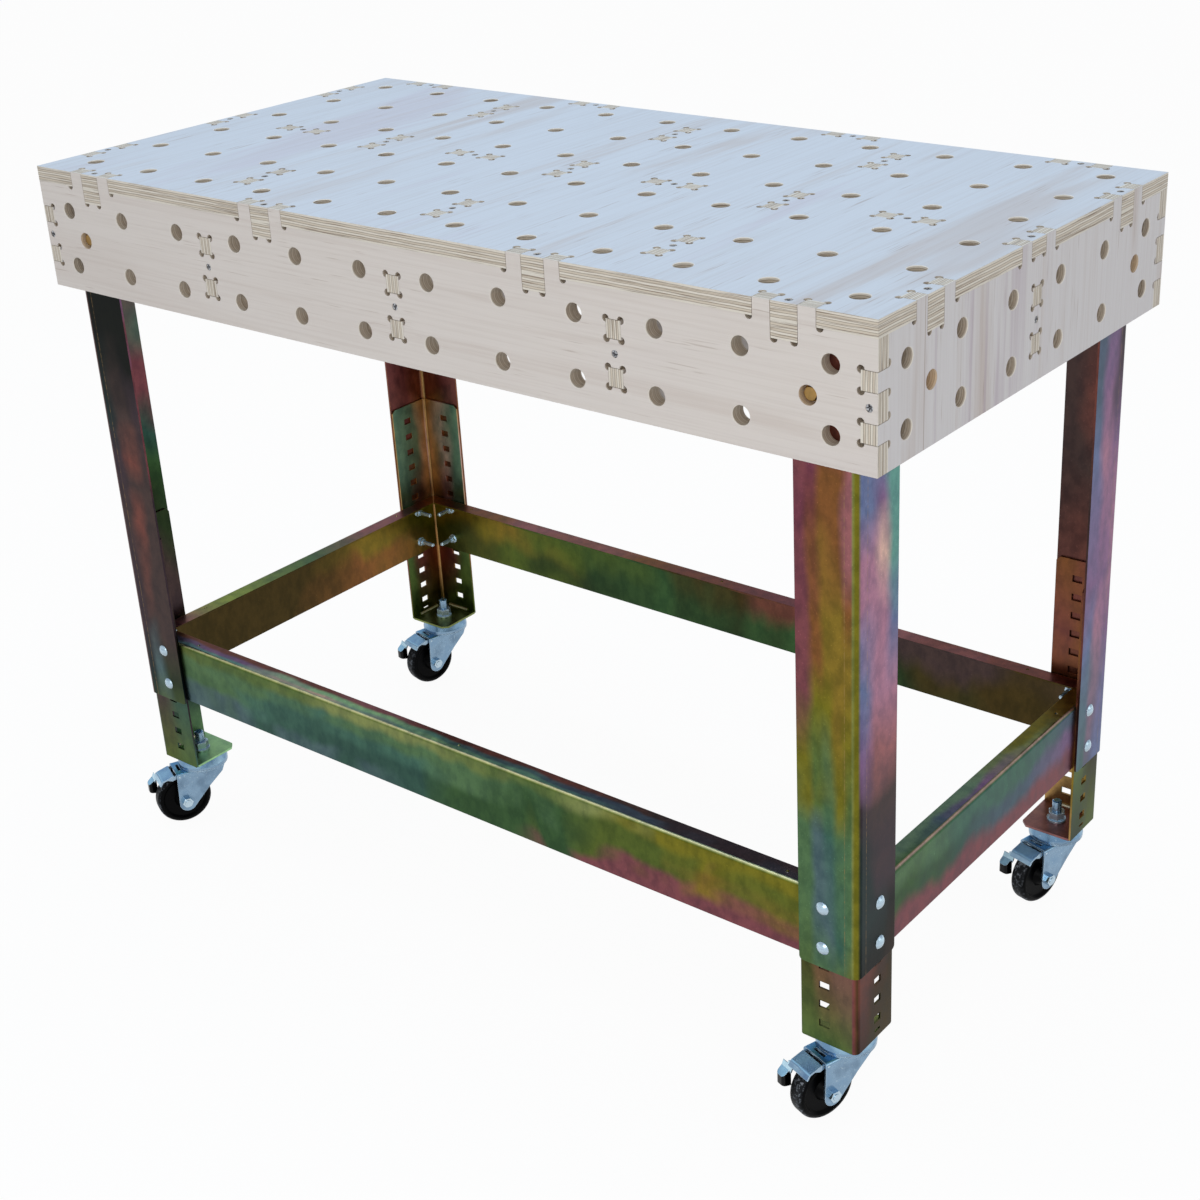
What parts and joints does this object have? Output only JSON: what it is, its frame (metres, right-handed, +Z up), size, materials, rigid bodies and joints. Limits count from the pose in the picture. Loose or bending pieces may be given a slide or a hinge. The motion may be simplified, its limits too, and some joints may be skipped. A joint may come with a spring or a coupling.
{
  "type": "assembly table",
  "caption": "Mobile assembly table: perforated plywood torsion-box top on a bolted, height-adjustable angle-steel frame with braked swivel casters.",
  "frame": {"origin": "on the floor under the middle of the table top", "axes": "+Z up, +X along the long side towards the right end, -Y towards the front long side"},
  "size_m": [1.2, 0.6179, 0.928],
  "materials": {
    "panel_birch": "satin",
    "box_birch": "satin",
    "yellow_passivated_steel": "satin",
    "bright_zinc": "satin",
    "screw_steel": "satin",
    "wheel_rubber": "matte"
  },
  "bodies": {
    "table": {"top_panel": "panel_birch", "sub_top": "box_birch", "front_apron": "box_birch", "rear_apron": "box_birch", "right_apron": "box_birch", "left_apron": "box_birch", "long_rib": "box_birch", "left_cross_rib": "box_birch", "middle_cross_rib": "box_birch", "right_cross_rib": "box_birch", "upper_leg_front_right": "yellow_passivated_steel", "lower_leg_front_right": "yellow_passivated_steel", "upper_leg_front_left": "yellow_passivated_steel", "lower_leg_front_left": "yellow_passivated_steel", "upper_leg_rear_left": "yellow_passivated_steel", "lower_leg_rear_left": "yellow_passivated_steel", "upper_leg_rear_right": "yellow_passivated_steel", "lower_leg_rear_right": "yellow_passivated_steel", "foot_plates": "yellow_passivated_steel", "foot_welds": "yellow_passivated_steel", "rear_stretcher": "yellow_passivated_steel", "front_stretcher": "yellow_passivated_steel", "right_stretcher": "yellow_passivated_steel", "left_stretcher": "yellow_passivated_steel", "top_screws": "screw_steel", "apron_screws": "screw_steel", "leg_mount_bolts": "yellow_passivated_steel", "leg_mount_washers": "yellow_passivated_steel", "leg_mount_nuts": "yellow_passivated_steel", "carriage_bolts": "bright_zinc", "carriage_nuts": "bright_zinc", "stem_washers": "bright_zinc", "stem_nuts": "bright_zinc", "caster_stems": "bright_zinc", "swivel_balls": "bright_zinc"},
    "caster_front_right": {"caster_fork_front_right": "bright_zinc", "axle_bolt_front_right": "bright_zinc", "axle_nut_front_right": "bright_zinc", "pedal_pin_front_right": "bright_zinc"},
    "wheel_front_right": {"caster_wheel_front_right": "wheel_rubber"},
    "brake_front_right": {"brake_pedal_front_right": "bright_zinc"},
    "caster_front_left": {"caster_fork_front_left": "bright_zinc", "axle_bolt_front_left": "bright_zinc", "axle_nut_front_left": "bright_zinc", "pedal_pin_front_left": "bright_zinc"},
    "wheel_front_left": {"caster_wheel_front_left": "wheel_rubber"},
    "brake_front_left": {"brake_pedal_front_left": "bright_zinc"},
    "caster_rear_left": {"caster_fork_rear_left": "bright_zinc", "axle_bolt_rear_left": "bright_zinc", "axle_nut_rear_left": "bright_zinc", "pedal_pin_rear_left": "bright_zinc"},
    "wheel_rear_left": {"caster_wheel_rear_left": "wheel_rubber"},
    "brake_rear_left": {"brake_pedal_rear_left": "bright_zinc"},
    "caster_rear_right": {"caster_fork_rear_right": "bright_zinc", "axle_bolt_rear_right": "bright_zinc", "axle_nut_rear_right": "bright_zinc", "pedal_pin_rear_right": "bright_zinc"},
    "wheel_rear_right": {"caster_wheel_rear_right": "wheel_rubber"},
    "brake_rear_right": {"brake_pedal_rear_right": "bright_zinc"}
  },
  "joints": [
    {"name": "caster_swivel_front_right", "type": "hinge", "parent": "table", "child": "caster_front_right", "pos_m": [0.53275, -0.24725, 0.09], "axis": [0, 0, 1], "continuous": true},
    {"name": "wheel_spin_front_right", "type": "hinge", "parent": "caster_front_right", "child": "wheel_front_right", "pos_m": [0.52164, -0.28044, 0.0375], "axis": [0.9483, -0.3173, 0], "continuous": true},
    {"name": "brake_pedal_hinge_front_right", "type": "hinge", "parent": "caster_front_right", "child": "brake_front_right", "pos_m": [0.52006, -0.28518, 0.0771], "axis": [0.9483, -0.3173, 0], "range_deg": [0, 11.5]},
    {"name": "caster_swivel_front_left", "type": "hinge", "parent": "table", "child": "caster_front_left", "pos_m": [-0.53275, -0.24725, 0.09], "axis": [0, 0, 1], "continuous": true},
    {"name": "wheel_spin_front_left", "type": "hinge", "parent": "caster_front_left", "child": "wheel_front_left", "pos_m": [-0.54726, -0.2791, 0.0375], "axis": [0.91, -0.4147, 0], "continuous": true},
    {"name": "brake_pedal_hinge_front_left", "type": "hinge", "parent": "caster_front_left", "child": "brake_front_left", "pos_m": [-0.54934, -0.28365, 0.0771], "axis": [0.91, -0.4147, 0], "range_deg": [0, 11.5]},
    {"name": "caster_swivel_rear_left", "type": "hinge", "parent": "table", "child": "caster_rear_left", "pos_m": [-0.53275, 0.24725, 0.09], "axis": [0, 0, 1], "continuous": true},
    {"name": "wheel_spin_rear_left", "type": "hinge", "parent": "caster_rear_left", "child": "wheel_rear_left", "pos_m": [-0.54062, 0.21315, 0.0375], "axis": [0.9744, -0.225, 0], "continuous": true},
    {"name": "brake_pedal_hinge_rear_left", "type": "hinge", "parent": "caster_rear_left", "child": "brake_rear_left", "pos_m": [-0.54175, 0.20827, 0.0771], "axis": [0.9744, -0.225, 0], "range_deg": [0, 11.5]},
    {"name": "caster_swivel_rear_right", "type": "hinge", "parent": "table", "child": "caster_rear_right", "pos_m": [0.53275, 0.24725, 0.09], "axis": [0, 0, 1], "continuous": true},
    {"name": "wheel_spin_rear_right", "type": "hinge", "parent": "caster_rear_right", "child": "wheel_rear_right", "pos_m": [0.52458, 0.21322, 0.0375], "axis": [0.9724, -0.2334, 0], "continuous": true},
    {"name": "brake_pedal_hinge_rear_right", "type": "hinge", "parent": "caster_rear_right", "child": "brake_rear_right", "pos_m": [0.52341, 0.20836, 0.0771], "axis": [0.9724, -0.2334, 0], "range_deg": [0, 11.5]}
  ]
}
